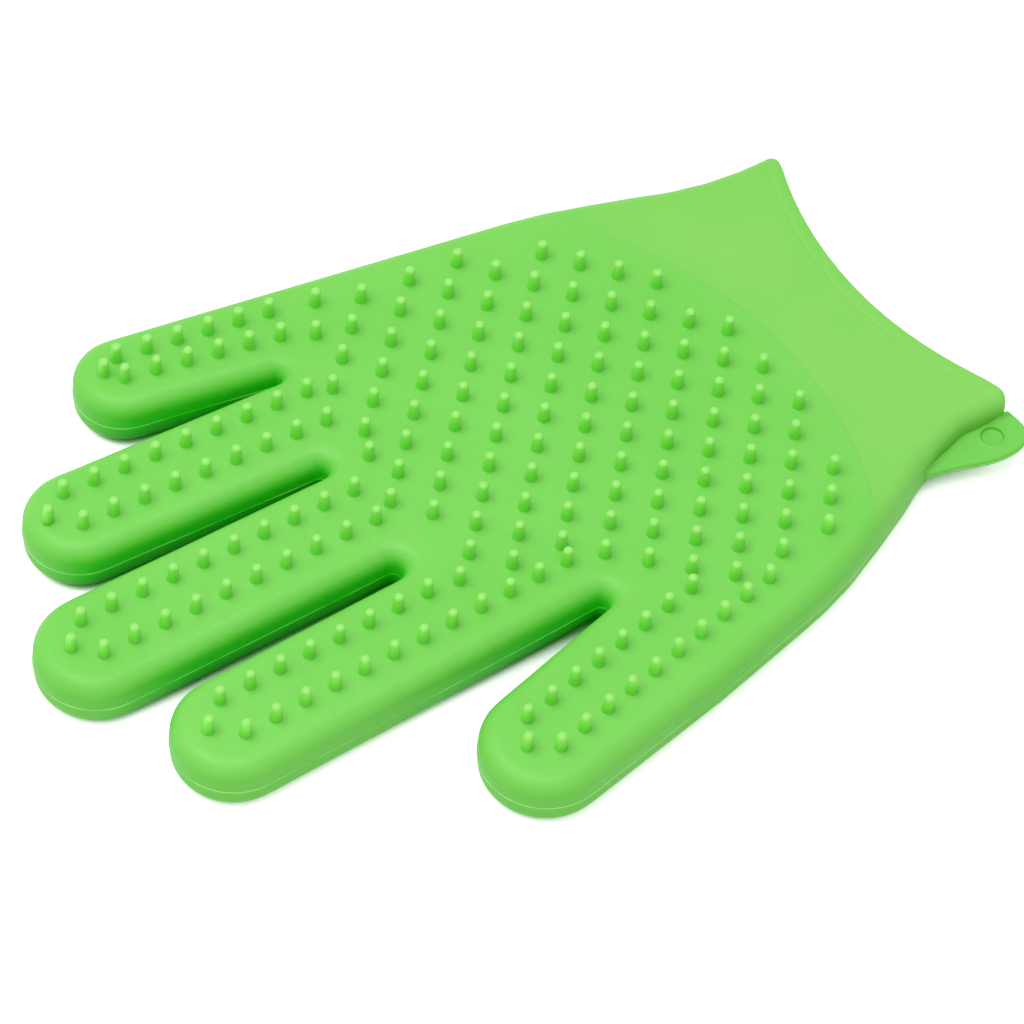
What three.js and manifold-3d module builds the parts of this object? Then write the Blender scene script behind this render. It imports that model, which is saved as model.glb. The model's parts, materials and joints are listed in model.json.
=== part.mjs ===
// Five-finger silicone grooming glove for the left hand, lying flat with its nubbed palm side up.
// Millimetres. +Y runs from the wrist to the middle fingertip, the thumb is on -X, +Z leaves the nub side.
// The back panel rests on z = 0. The origin is on that face, 11 mm in from the wrist edge.
// The glove is a hollow moulding: every body is a front and a back half shell that meet at the parting
// line, and the bodies bend at flex zones, each one a V slot that opens towards the back.
import * as THREE from 'three';
import * as BufferGeometryUtils from 'three/addons/utils/BufferGeometryUtils.js';
import Module from 'manifold-3d';

const wasm = await Module();
wasm.setup();

// ---- driving dimensions ----
const THICKNESS = 16.2;          // back face to front face, without the nubs
const PARTING_Z = THICKNESS / 2; // height of the parting line
const WALL = 1.8;                // silicone wall
const EDGE_R = 5.2;              // rounding between the side wall and both panels
const GAP = 0.3;                 // clearance between two neighbouring solids
const EDGE_STEPS = 3;            // facets round a panel edge

const NUB = { baseR: 1.75, tipR: 1.4, height: 6.1, sides: 8 };
const NUB_ROOT = 0.8;            // how far a nub is sunk into the wall

const FINGER_FLEX = { extend: 10 };   // degrees a finger joint can bend backwards
const WRIST_FLEX = { y: 19, extend: 20 };
const SLOT_EASE = 1.08;          // a flex slot is this much wider than its joint needs

// Each finger: base point on its axis, angle from +Y towards -X, distance from the base point to the
// centre of the tip arc, half width at the base and at the tip, hinge lines, and its two rows of nubs
// (count on the left and right row, distance of the first pair from the tip arc's centre, pitch,
// half spacing at the tip and at the last nub, distance of the single tip nub, sideways offset).
const FINGERS = {
  index: {
    base: [-38.7, 140], angle: 3.4, length: 64.2, halfWidth: [16.4, 16.4], hinges: [154.1, 172.1, 190.2],
    nubs: { left: 12, right: 8, first: -0.5, pitch: 8.97, spread: [6.1, 5.5], tip: 6.9, offset: 0.6 },
  },
  middle: {
    base: [-0.4, 140], angle: 1.8, length: 82.2, halfWidth: [16.3, 16.5], hinges: [154.6, 181.8, 209],
    nubs: { left: 10, right: 10, first: 0.6, pitch: 9.06, spread: [5.9, 5.5], tip: 6.9, offset: 0.4 },
  },
  ring: {
    base: [34.4, 140], angle: -1.2, length: 66.5, halfWidth: [15.0, 15.0], hinges: [149.4, 167.3, 194.1],
    nubs: { left: 9, right: 9, first: 1.3, pitch: 8.97, spread: [5.7, 5.5], tip: 8.6, offset: 0.3 },
  },
  little: {
    base: [65.5, 140], angle: -9.3, length: 35.1, halfWidth: [14.0, 13.4], hinges: [145.1, 162.1],
    nubs: { left: 6, right: 6, first: 0.2, pitch: 8.66, spread: [3.6, 4.4], tip: 5.0, offset: 0.2 },
  },
};
const THUMB = {
  base: [-73.6, 92.1], angle: 14, length: 46.6, halfWidth: [18.2, 17.3], hinges: [8.65, 34.15],
  nubs: { left: 10, right: 8, first: 0.3, pitch: 8.5, spread: [6.0, 5.8], tip: 6.4, offset: 0.2 },
};

// Round bottoms of the slots between the digits: centre and radius.
const CROTCHES = {
  little_ring: { at: [50.6, 139.5], r: 1.5 },
  ring_middle: { at: [17.6, 144.8], r: 2.0 },
  middle_index: { at: [-19.6, 144.4], r: 2.9 },
  index_thumb: { at: [-54.9, 102.6], r: 2.3 },
};

// Sides of the palm and cuff, from the finger down to the wrist.
const RIGHT_SIDE = [[69.3, 69.6], [66.1, 49.5], [60.5, 29.2], [54.5, 9.5], [52.3, -8], [52.6, -26]];
const LEFT_SIDE = [[-83.0, 57.2], [-77.8, 41.3], [-65.9, 17.3], [-57.6, 3], [-52.2, -13], [-49.4, -30]];
const CUFF_END_Y = -46;          // the side walls run on to here before the wrist edge is cut

// Wrist edge: a concave arc with a round corner at each end.
const WRIST_ARC = { centre: [9.5, -120], r: 110, from: -44.5, to: 46.5 };
const WRIST_CORNERS = { left: [-50, -27.2], leftSide: -20.5, right: [52.4, -18.2], rightSide: -10.5 };

// Nub field of the palm: rows fan out slightly, so a nub's place is quadratic in its row and step.
const FIELD = {
  origin: [50.3, 57.3], step: [-8.26, 7.51], row: [-8.25, -7.02],
  stepBend: [0.053, -0.068], twist: [-0.023, -0.102], rowBend: [0.102, -0.071],
};
const FIELD_ROWS = {             // row number: first and last step
  '-4': [3, 6], '-3': [2, 7], '-2': [1, 9], '-1': [1, 9], 0: [0, 10], 1: [0, 10], 2: [0, 9],
  3: [0, 9], 4: [1, 9], 5: [1, 9], 6: [2, 9], 7: [3, 8], 8: [5, 7],
};
const FILLER_NUBS = [[65.8, 118.9], [56, 124.2], [13.7, 132.2], [-33.1, 132.1]];

const TAB = {
  rootTop: [-58.9, 5], rootBottom: [-50.9, -25.4], thickness: 2.6,
  outline: [[-60.6, -3.5], [-63.6, -14], [-64.1, -20]], corner: [-63.6, -27.4], foot: [-57.2, -27.2],
  eye: [-56.9, -18.2], eyeR: 3.2, eyeDepth: 0.8, hingeGap: 0.6,
};

const ARC = { tip: 12, crotch: 6, wrist: 14, corner: 4, eye: 16 };
const SILICONE = { palm: 0x7fde64, cuff: 0x8cde6b, back: 0x74d455, tab: 0x80d864 };

// ---- small helpers ----
const radians = (degrees) => degrees * Math.PI / 180;

function arcPoints([cx, cy], r, start, end, steps) {
  const points = [];
  for (let i = 0; i <= steps; i += 1) {
    const a = radians(start + (end - start) * i / steps);
    points.push([cx + r * Math.cos(a), cy + r * Math.sin(a)]);
  }
  return points;
}

function curvePoints(corners, steps) {
  const curve = new THREE.SplineCurve(corners.map(([x, y]) => new THREE.Vector2(x, y)));
  return curve.getPoints(steps).map((p) => [p.x, p.y]);
}

const shapeOf = (points) => new THREE.Shape(points.map(([x, y]) => new THREE.Vector2(x, y)));

function solid(geometry) {
  const bare = geometry.index ? geometry : geometry.clone();
  bare.deleteAttribute('normal');
  bare.deleteAttribute('uv');
  const merged = BufferGeometryUtils.mergeVertices(bare, 1e-4);
  return new wasm.Manifold(new wasm.Mesh({
    numProp: 3,
    vertProperties: new Float32Array(merged.attributes.position.array),
    triVerts: new Uint32Array(merged.index.array),
  }));
}

// A plan outline made into a slab from z0 to z1.
function slab(points, z0, z1) {
  const geometry = new THREE.ExtrudeGeometry(shapeOf(points), { depth: z1 - z0, bevelEnabled: false });
  return solid(geometry.translate(0, 0, z0));
}

// A profile in the Y-Z plane made into a bar that runs along X from x0 to x1.
function barAlongX(profile, x0, x1) {
  const geometry = new THREE.ExtrudeGeometry(shapeOf(profile), { depth: x1 - x0, bevelEnabled: false });
  geometry.applyMatrix4(new THREE.Matrix4().set(0, 0, 1, x0, 1, 0, 0, 0, 0, 1, 0, 0, 0, 0, 0, 1));
  return solid(geometry);
}

// ---- plan outline ----
function axisOf(digit) {
  const a = radians(digit.angle);
  return { along: [-Math.sin(a), Math.cos(a)], right: [Math.cos(a), Math.sin(a)] };
}

function onDigit(digit, along, right) {
  const axis = axisOf(digit);
  return [
    digit.base[0] + along * axis.along[0] + right * axis.right[0],
    digit.base[1] + along * axis.along[1] + right * axis.right[1],
  ];
}

const tipOf = (digit) => arcPoints(
  onDigit(digit, digit.length, 0), digit.halfWidth[1], digit.angle, digit.angle + 180, ARC.tip,
);

// The slot's bottom is passed from the right-hand digit to the left-hand one, so it turns clockwise.
function crotchOf({ at, r }, tilt) {
  return arcPoints(at, r, tilt, tilt - 180, ARC.crotch);
}

const sideOf = (digit, side) => onDigit(digit, 0, side * digit.halfWidth[0]);

function gloveOutline() {
  const { index, middle, ring, little } = FINGERS;
  const right = curvePoints([...RIGHT_SIDE].reverse(), 9);
  const left = curvePoints(LEFT_SIDE, 9);
  return [
    [RIGHT_SIDE.at(-1)[0], CUFF_END_Y],
    ...right,
    sideOf(little, 1),
    ...tipOf(little),
    ...crotchOf(CROTCHES.little_ring, -5),
    ...tipOf(ring),
    ...crotchOf(CROTCHES.ring_middle, 0),
    ...tipOf(middle),
    ...crotchOf(CROTCHES.middle_index, 2),
    ...tipOf(index),
    ...crotchOf(CROTCHES.index_thumb, 6),
    ...tipOf(THUMB),
    sideOf(THUMB, -1),
    ...left,
    [LEFT_SIDE.at(-1)[0], CUFF_END_Y],
  ];
}

// ---- shells ----
// One rounded slab with the plan outline. inset 0 is the outer skin, inset WALL the cavity.
function roundedSlab(outline, inset, z0, z1) {
  const geometry = new THREE.ExtrudeGeometry(shapeOf(outline), {
    depth: z1 - z0 - 2 * (EDGE_R - inset),
    bevelEnabled: true,
    bevelThickness: EDGE_R - inset,
    bevelSize: EDGE_R - inset,
    bevelOffset: -EDGE_R,
    bevelSegments: EDGE_STEPS,
  });
  return solid(geometry.translate(0, 0, z0 + EDGE_R - inset));
}

// Front and back half shells, open at the parting line.
function halfShells(outline) {
  const big = 400;
  const plate = [[-big, -big], [big, -big], [big, big], [-big, big]];
  const low = -big / 4;
  const high = big / 4;
  const frontOuter = roundedSlab(outline, 0, PARTING_Z - 20, THICKNESS);
  const frontInner = roundedSlab(outline, WALL, PARTING_Z - 24, THICKNESS - WALL);
  const backOuter = roundedSlab(outline, 0, 0, PARTING_Z + 20);
  const backInner = roundedSlab(outline, WALL, WALL, PARTING_Z + 24);
  return {
    front: frontOuter.subtract(frontInner).subtract(slab(plate, low, PARTING_Z + GAP / 2)),
    back: backOuter.subtract(backInner).subtract(slab(plate, PARTING_Z - GAP / 2, high)),
  };
}

// ---- nubs ----
function fieldNub(row, step) {
  const at = (k) => FIELD.origin[k] + step * FIELD.step[k] + row * FIELD.row[k]
    + step * step * FIELD.stepBend[k] + step * row * FIELD.twist[k] + row * row * FIELD.rowBend[k];
  return [at(0), at(1)];
}

function digitNubs(digit) {
  const { left, right, first, pitch, spread, tip, offset } = digit.nubs;
  const longest = Math.max(left, right) - 1;
  const places = [onDigit(digit, digit.length + tip, offset)];
  for (const [count, side] of [[left, -1], [right, 1]]) {
    for (let n = 0; n < count; n += 1) {
      const half = spread[0] + (spread[1] - spread[0]) * n / longest;
      places.push(onDigit(digit, digit.length + first - n * pitch, offset + side * half));
    }
  }
  return places;
}

function nubPlaces() {
  const places = [...FILLER_NUBS];
  for (const [row, [first, last]] of Object.entries(FIELD_ROWS)) {
    for (let step = first; step <= last; step += 1) places.push(fieldNub(Number(row), step));
  }
  for (const digit of [...Object.values(FINGERS), THUMB]) places.push(...digitNubs(digit));
  return places;
}

function nubSolid([x, y]) {
  const height = NUB.height + NUB_ROOT;
  const geometry = new THREE.CylinderGeometry(NUB.tipR, NUB.baseR, height, NUB.sides);
  geometry.rotateX(Math.PI / 2);
  return solid(geometry.translate(x, y, THICKNESS - NUB_ROOT + height / 2));
}

// ---- flex zones ----
// V slot with the hinge axis along its top: as wide as GAP at the front face, wider at the back so that
// the joint can bend backwards by the given angle.
function flexSlot(x0, x1, extend) {
  const past = 1;                // the cutter runs this far past both faces
  const half = GAP / 2;
  const halfBack = half + SLOT_EASE * (THICKNESS + past) * Math.tan(radians(extend)) / 2;
  const profile = [[-halfBack, -past], [halfBack, -past], [half, THICKNESS], [half, THICKNESS + past],
    [-half, THICKNESS + past], [-half, THICKNESS]];
  return barAlongX(profile, x0, x1);
}

// Plan quadrilateral round one digit between two distances along its axis.
function digitBand(digit, from, to) {
  const half = Math.max(...digit.halfWidth) + GAP;
  return [onDigit(digit, from, half), onDigit(digit, to, half), onDigit(digit, to, -half),
    onDigit(digit, from, -half)];
}

// Plan outline of a finger's part between two hinge lines, which run along X.
function fingerRegion(digit, y0, y1) {
  const slope = axisOf(digit).along[0] / axisOf(digit).along[1];
  const half = Math.max(...digit.halfWidth) + 0.8;
  const at = (y) => digit.base[0] + (y - digit.base[1]) * slope;
  return [[at(y0) + half, y0], [at(y1) + half, y1], [at(y1) - half, y1], [at(y0) - half, y0]];
}

const SEGMENT_NAMES = ['root', 'middle', 'tip'];
const PAST_TIP = 40;             // a last part's region runs this far past the tip arc's centre
const SLOT_OVERHANG = 0.9;       // a slot cuts this far past the digit's side walls

function segmentNames(count) {
  return count === 3 ? SEGMENT_NAMES : ['root', 'tip'];
}

// Bodies that are cut out of the shells: name, plan region, and the flex slot at the wrist end.
function flexBodies() {
  const bodies = [];
  for (const [name, digit] of Object.entries(FINGERS)) {
    const names = segmentNames(digit.hinges.length);
    const slope = axisOf(digit).along[0] / axisOf(digit).along[1];
    digit.hinges.forEach((y, i) => {
      const next = digit.hinges[i + 1] ?? digit.base[1] + digit.length + PAST_TIP;
      const x = digit.base[0] + (y - digit.base[1]) * slope;
      const half = digit.halfWidth[0] + SLOT_OVERHANG;
      bodies.push({
        name: `${name}_${names[i]}`,
        region: fingerRegion(digit, y, next),
        slot: flexSlot(x - half, x + half, FINGER_FLEX.extend).translate(0, y, 0),
      });
    });
  }
  const names = segmentNames(THUMB.hinges.length);
  THUMB.hinges.forEach((along, i) => {
    const next = THUMB.hinges[i + 1] ?? THUMB.length + PAST_TIP;
    const [x, y] = onDigit(THUMB, along, 0);
    const half = THUMB.halfWidth[0] + SLOT_OVERHANG;
    bodies.push({
      name: `thumb_${names[i]}`,
      region: digitBand(THUMB, along, next),
      slot: flexSlot(-half, half, FINGER_FLEX.extend).rotate(0, 0, THUMB.angle).translate(x, y, 0),
    });
  });
  bodies.push({
    name: 'cuff',
    region: [[-90, -60], [90, -60], [90, WRIST_FLEX.y], [-90, WRIST_FLEX.y]],
    slot: flexSlot(-90, 90, WRIST_FLEX.extend).translate(0, WRIST_FLEX.y, 0),
  });
  return bodies;
}

// Everything on the arm side of the wrist edge.
function wristCutter() {
  const { centre, r, from, to } = WRIST_ARC;
  const { left, leftSide, right, rightSide } = WRIST_CORNERS;
  const angleAt = (x) => Math.acos((x - centre[0]) / r) * 180 / Math.PI;
  const shape = new THREE.Shape();
  const arc = arcPoints(centre, r, angleAt(from), angleAt(to), ARC.wrist);
  shape.moveTo(-100, -70);
  shape.lineTo(-100, leftSide);
  shape.lineTo(left[0] - 1.5, leftSide);
  shape.quadraticCurveTo(left[0], left[1], ...arc[0]);
  arc.slice(1).forEach(([x, y]) => shape.lineTo(x, y));
  shape.quadraticCurveTo(right[0], right[1], right[0] + 0.2, rightSide);
  shape.lineTo(100, rightSide);
  shape.lineTo(100, -70);
  return slab(shape.getPoints(ARC.corner).map((p) => [p.x, p.y]), -5, THICKNESS + 10);
}

// ---- hang tab ----
// Strip beside the hinge line that the tab stays out of, so that it clears the side wall as it swings.
function tabClearance() {
  const { rootTop, rootBottom, hingeGap, thickness } = TAB;
  const past = 8;
  const wide = 20;
  const slope = (rootTop[0] - rootBottom[0]) / (rootTop[1] - rootBottom[1]);
  const bottom = [rootBottom[0] - hingeGap - past * slope, rootBottom[1] - past];
  const top = [rootTop[0] - hingeGap + past * slope, rootTop[1] + past];
  const strip = [bottom, [bottom[0] + wide, bottom[1]], [top[0] + wide, top[1]], top];
  return slab(strip, PARTING_Z - thickness, PARTING_Z + thickness);
}

// Leaf-shaped flap at the parting line on the thumb side of the cuff, with a closed round eye.
function hangTab() {
  const { rootTop, rootBottom, outline, corner, foot, thickness, eye, eyeR, eyeDepth } = TAB;
  const shape = new THREE.Shape();
  shape.moveTo(...rootBottom);
  shape.lineTo(...rootTop);
  shape.splineThru(outline.map(([x, y]) => new THREE.Vector2(x, y)));
  shape.quadraticCurveTo(...corner, ...foot);
  shape.closePath();
  const z0 = PARTING_Z - thickness / 2;
  const leaf = slab(shape.getPoints(6).map((p) => [p.x, p.y]), z0, z0 + thickness);
  const recess = new THREE.CylinderGeometry(eyeR, eyeR, 2 * eyeDepth, ARC.eye);
  recess.rotateX(Math.PI / 2).translate(eye[0], eye[1], z0 + thickness);
  return leaf.subtract(solid(recess)).subtract(tabClearance());
}

// ---- scene graph ----
function meshOf(name, body, colour) {
  const { vertProperties, triVerts, numProp } = body.getMesh();
  const count = vertProperties.length / numProp;
  const positions = new Float32Array(count * 3);
  for (let i = 0; i < count; i += 1) {
    for (let k = 0; k < 3; k += 1) positions[3 * i + k] = vertProperties[numProp * i + k];
  }
  const geometry = new THREE.BufferGeometry();
  geometry.setAttribute('position', new THREE.BufferAttribute(positions, 3));
  geometry.setIndex(new THREE.BufferAttribute(new Uint32Array(triVerts), 1));
  geometry.computeVertexNormals();
  const material = new THREE.MeshStandardMaterial({ color: colour, roughness: 0.5, metalness: 0 });
  const mesh = new THREE.Mesh(geometry, material);
  mesh.name = name;
  return mesh;
}

function buildGlove() {
  const glove = new THREE.Group();
  glove.name = 'grooming_glove';
  const shells = halfShells(gloveOutline());
  const cutter = wristCutter();
  const bodies = flexBodies();

  let front = wasm.Manifold.union([shells.front, ...nubPlaces().map(nubSolid)]).subtract(cutter);
  let back = shells.back.subtract(cutter);
  for (const { slot } of bodies) {
    front = front.subtract(slot);
    back = back.subtract(slot);
  }
  let palmFront = front;
  let palmBack = back;
  for (const { name, region } of bodies) {
    const prism = slab(region, -5, THICKNESS + 10);
    const colour = name === 'cuff' ? SILICONE.cuff : SILICONE.palm;
    glove.add(meshOf(`${name}_front`, front.intersect(prism), colour));
    glove.add(meshOf(`${name}_back`, back.intersect(prism), SILICONE.back));
    palmFront = palmFront.subtract(prism);
    palmBack = palmBack.subtract(prism);
  }
  glove.add(meshOf('palm_front', palmFront, SILICONE.palm));
  glove.add(meshOf('palm_back', palmBack, SILICONE.back));
  glove.add(meshOf('hang_tab', hangTab(), SILICONE.tab));
  return glove;
}

export default buildGlove();
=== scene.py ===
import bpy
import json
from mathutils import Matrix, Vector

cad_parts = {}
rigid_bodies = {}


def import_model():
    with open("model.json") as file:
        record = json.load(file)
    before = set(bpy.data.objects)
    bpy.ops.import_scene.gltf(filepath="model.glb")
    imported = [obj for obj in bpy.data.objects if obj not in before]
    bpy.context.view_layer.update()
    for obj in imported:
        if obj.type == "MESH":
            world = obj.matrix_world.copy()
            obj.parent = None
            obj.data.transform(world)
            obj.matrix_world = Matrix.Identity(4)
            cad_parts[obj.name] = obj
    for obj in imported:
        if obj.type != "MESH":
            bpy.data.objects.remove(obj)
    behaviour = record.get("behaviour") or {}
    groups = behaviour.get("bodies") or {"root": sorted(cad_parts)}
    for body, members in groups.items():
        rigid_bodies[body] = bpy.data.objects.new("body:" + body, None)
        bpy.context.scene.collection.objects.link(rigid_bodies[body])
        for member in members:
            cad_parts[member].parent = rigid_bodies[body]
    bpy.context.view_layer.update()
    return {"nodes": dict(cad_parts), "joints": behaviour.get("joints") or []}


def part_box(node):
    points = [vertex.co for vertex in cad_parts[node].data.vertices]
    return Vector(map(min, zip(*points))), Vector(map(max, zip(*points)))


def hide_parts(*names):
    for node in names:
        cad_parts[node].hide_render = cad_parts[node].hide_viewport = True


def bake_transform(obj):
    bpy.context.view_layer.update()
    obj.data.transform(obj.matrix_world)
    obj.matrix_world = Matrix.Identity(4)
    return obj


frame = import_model()

# Looks of the silicone grooming glove, built round the imported CAD frame.
#
# The CAD shells give the plan outline, the wrist edge, the flex hinges and the places of the nubs. From
# them this script makes one continuous moulded skin with its real fillets, rounded nubs, parting bead,
# rolled wrist rim and hollow inside. The skin is split between the flex hinges, so that each piece holds
# one hinge. Builders work in millimetres in the row frame, and meshes are written in metres.

import json
import math
import random

import bpy
import numpy as np
from numpy.linalg import norm
from mathutils import Quaternion, Vector, noise
from mathutils.bvhtree import BVHTree
from mathutils.geometry import delaunay_2d_cdt

MM = 0.001
UP = Vector((0, 0, 1))

# ---- the moulding, in millimetres ----
JOINTS = {joint["name"]: joint for joint in frame["joints"]}
FRONT_Z = JOINTS["wrist_flex"]["pos_m"][2] / MM  # front face, where every flex hinge lies
PARTING_Z = JOINTS["tab_flex"]["pos_m"][2] / MM
WRIST_Y = JOINTS["wrist_flex"]["pos_m"][1] / MM
NUB_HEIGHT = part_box("palm_front")[1][2] / MM - FRONT_Z

EDGE_R = 5.2  # rounding between the side wall and the panels
CUFF_EDGE_R = 3.9  # the same rounding on the front of the cuff
CUFF_EDGE_FADE = (-20.0, 20.0)  # heights y between which one becomes the other
WALL = 1.8  # silicone wall
LIP = WALL / 2  # radius of the rolled wrist rim
RIM_PROUD = 0.8  # the soft rim stands this far past the CAD's cut edge
RIM_ANGLES = (25, 55, 90, 125, 155)  # degrees round the rolled rim, one ring of points each
FLARE = {"push": 2.2, "reach": 14.0}  # the wrist's tab-side corner turns outwards

ROUND_STEPS = 9  # rings on one rounding
WALL_RINGS = (0.72, 0.45, 0.2)  # heights of more rings on half the side wall
BEAD = {"height": 0.14, "half": 0.24}  # parting bead on the side wall
BEAD_SHAPE = ((1.0, 0.06), (0.62, 0.45), (0.3, 0.85), (0.0, 1.0),
              (-0.3, 0.85), (-0.62, 0.45), (-1.0, 0.06))  # across the bead, share of its height
WALL_DRAFT = 0.08  # the side wall bulges this far towards the parting line

STEP = {"coarse": 1.5, "fine": 0.55, "per_radius": 0.24}  # spacing of points along the outline
PANEL_GRID = 2.1  # spacing of points on the outer panels
LINING_GRID = 4.0  # spacing of points on the inside
RELIEF_GRID = 1.6  # spacing of points along the lines moulded in the front panel
WRIST_STEPS = 96  # points along the wrist edge

NUB = {"base": 1.54, "spread": 0.28, "fillet": 0.4, "tip": 1.38, "dome": 0.9, "sides": 16}
NUB_RINGS = {"fillet": 4, "shaft": (0.35, 0.7, 1.0), "dome": (20, 40, 58, 74)}  # steps, shares, degrees
NUB_CLEAR = 0.35  # a nub's foot stays this far from the panel's border
NUB_LEAN = np.array((-0.030, -0.046))  # sideways for each mm of height, as moulded
NUB_UNEVEN = 0.012  # random change of the lean

HEM = {"at": 3.3, "half": 0.5, "depth": 0.12, "raise": 0.05}  # line moulded along the wrist edge
HEM_ROWS = (-1.8, -1.0, -0.4, 0.4, 1.0, 1.8)  # rows of points across it, in half widths
PALM_STEP = {"centre": (-20.2, 135.7), "radius": 119.2, "height": 0.25, "half": 0.7}  # nub field's edge
PALM_STEP_ROWS = (-1.3, -0.75, -0.25, 0.25, 0.75, 1.3)
PALM_STEP_FADE = (24.0, 36.0)  # it fades out between these heights past the wrist
SWELL = {"size": 34.0, "height": 0.16}  # slow unevenness of the soft panels

HOLLOW = {"reach": 12.0, "full": 0.42, "foot": 2.6}  # how near walls stand to each other between digits, which sets the painted glow and shade there
HOLLOW_LOOKS = (-70, -50, -25, 0, 25, 50, 70)  # degrees from straight out, for looking across a gap

BLEND_HALF = 4.4  # how far a finger's bend would reach on each side of its hinge line; no bend is made
CUT_PAST_HINGE = 8.8  # the next piece starts this far past a hinge line
WRIST_BLEND = (7.0, 7.5)  # the same for the wrist: cuff side, palm side


# ---- reading the CAD ----
def node_triangles(names):
    """Corner points in mm and normals of the triangles of some CAD nodes."""
    corners, normals = [], []
    for name in names:
        mesh = frame["nodes"][name].data
        points = np.array([vertex.co for vertex in mesh.vertices]) / MM
        mesh.calc_loop_triangles()
        for triangle in mesh.loop_triangles:
            corners.append(points[list(triangle.vertices)])
            normals.append(triangle.normal)
    return np.array(corners), np.array(normals)


def tree_of(corners):
    points = [Vector(point) for point in corners.reshape(-1, 3)]
    return BVHTree.FromPolygons(points, [(3 * i, 3 * i + 1, 3 * i + 2) for i in range(len(corners))])


def cuts_at(corners, normals, z):
    """Segments where triangles cross the height z, each with its outward direction in plan."""
    cuts = []
    for triangle, normal in zip(corners, normals):
        below = triangle[:, 2] < z
        if below.all() or not below.any():
            continue
        ends = []
        for a, b in ((0, 1), (1, 2), (2, 0)):
            if below[a] != below[b]:
                share = (z - triangle[a, 2]) / (triangle[b, 2] - triangle[a, 2])
                ends.append(triangle[a, :2] + share * (triangle[b, :2] - triangle[a, :2]))
        cuts.append((ends[0], ends[1], normal[:2] / norm(normal[:2])))
    return cuts


def join_cuts(segments, start, reach):
    """Chains segments that share end points from start on, and goes on over gaps up to reach."""
    links = {}
    for index, (a, b) in enumerate(segments):
        for point in (a, b):
            links.setdefault((round(point[0], 2), round(point[1], 2)), []).append(index)
    unused = set(range(len(segments)))

    def walk(start):
        points = [start]
        while True:
            key = (round(points[-1][0], 2), round(points[-1][1], 2))
            following = [index for index in links.get(key, []) if index in unused]
            if not following:
                return points
            unused.discard(following[0])
            a, b = segments[following[0]]
            closer = norm(a - points[-1]) < norm(b - points[-1])
            points.append(b if closer else a)

    chain = walk(start)
    while unused:
        ends = [point for index in sorted(unused) for point in segments[index]]
        nearest = min(ends, key=lambda p: norm(p - chain[-1]))
        if norm(nearest - chain[-1]) > reach:
            break
        chain += walk(nearest)
    return np.array(chain)


def front_nodes():
    return [name for name in frame["nodes"] if name.endswith("_front")]


def read_outline(corners, normals, tree):
    """Outer plan outline of the glove, from the right end of the wrist edge to the left one."""
    height = PARTING_Z + 2.5
    probe, close, slot_width, gap_reach = 0.4, 0.05, 2.7, 6.0
    outer = []
    for a, b, out in cuts_at(corners, normals, height):
        middle = (a + b) / 2
        beside = Vector((*(middle + probe * out), height))
        near = Vector((*(middle + close * out), height))
        if tree.ray_cast(beside, UP)[0] is not None:
            continue  # faces the inside of the shell or of a flex slot
        if tree.ray_cast(near, Vector((*out, 0)), slot_width)[0] is not None:
            continue  # faces the other side of a flex slot
        outer.append((a, b))
    ends = [point for segment in outer for point in segment if point[0] > 0]
    return join_cuts(outer, min(ends, key=lambda p: p[1]), gap_reach)


def tab_frame():
    """The tab's hinge point, the direction of its axis and the direction away from the cuff, in plan."""
    joint = JOINTS["tab_flex"]
    axis = np.array(joint["axis"][:2])
    return np.array(joint["pos_m"][:2]) / MM, axis, np.array([-axis[1], axis[0]])


def flared(points, corner):
    """Plan points pushed outwards near the wrist's tab-side corner."""
    _, _, out = tab_frame()
    near = smoothstep(1 - norm(points - corner, axis=1) / FLARE["reach"])
    return points + FLARE["push"] * near[:, None] * out


def read_wrist(tree):
    """Height y of the wrist edge over x, continued past the corners with a fixed slope, and the place of
    its tab-side corner."""
    far, half, spacing, steepest, furthest = -120.0, 70.0, 0.25, 1.3, 8.0
    xs = np.arange(-half, half, spacing)
    ys = np.full(len(xs), np.nan)
    for height in (PARTING_Z + 1.0, FRONT_Z - EDGE_R / 2, FRONT_Z - WALL / 2):
        for i, x in enumerate(xs):
            hit = tree.ray_cast(Vector((x, far, height)), Vector((0, 1, 0)))[0]
            if hit is not None:
                ys[i] = np.fmin(ys[i], hit[1])
    slope = np.abs(np.gradient(ys, spacing))
    gentle = np.where(slope < steepest, 1, 0)
    centre = len(xs) // 2
    left, right = centre, centre
    while gentle[left - 1]:
        left -= 1
    while gentle[right + 1]:
        right += 1
    xs, ys = xs[left:right + 1], ys[left:right + 1]
    steps = 12
    kernel = np.exp(-0.5 * (np.arange(-steps, steps + 1) * spacing) ** 2)
    padded = np.pad(ys, steps, mode="reflect", reflect_type="odd")
    ys = np.convolve(padded, kernel / kernel.sum(), mode="valid")
    corner = np.array([xs[0], ys[0]])
    xs, ys = flared(np.column_stack([xs, ys]), corner).T

    def wrist_y(x):
        x = np.asarray(x, float)
        past = np.minimum(np.maximum(xs[0] - x, 0) + np.maximum(x - xs[-1], 0), furthest)
        return np.interp(x, xs, ys) + LIP - RIM_PROUD + steepest * past

    return wrist_y, corner


def read_nubs(corners):
    """Plan positions of the nubs, from the flat tops of the CAD's nubs."""
    just_below = 0.05
    points = corners.reshape(-1, 3)
    points = points[points[:, 2] > points[:, 2].max() - just_below, :2]
    groups = []
    for point in points:
        for group in groups:
            if norm(group[0] - point) < 2 * NUB["base"]:
                group.append(point)
                break
        else:
            groups.append([point])
    return np.array([np.unique(np.round(group, 3), axis=0).mean(axis=0) for group in groups])


# ---- curves ----
def turns_of(points):
    """Sine of the turn at each point of a polyline, 1 at its two ends."""
    before, after = points[1:-1] - points[:-2], points[2:] - points[1:-1]
    cross = before[:, 0] * after[:, 1] - before[:, 1] * after[:, 0]
    turn = cross / (norm(before, axis=1) * norm(after, axis=1))
    return np.concatenate([[1.0], turn, [1.0]])


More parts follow.
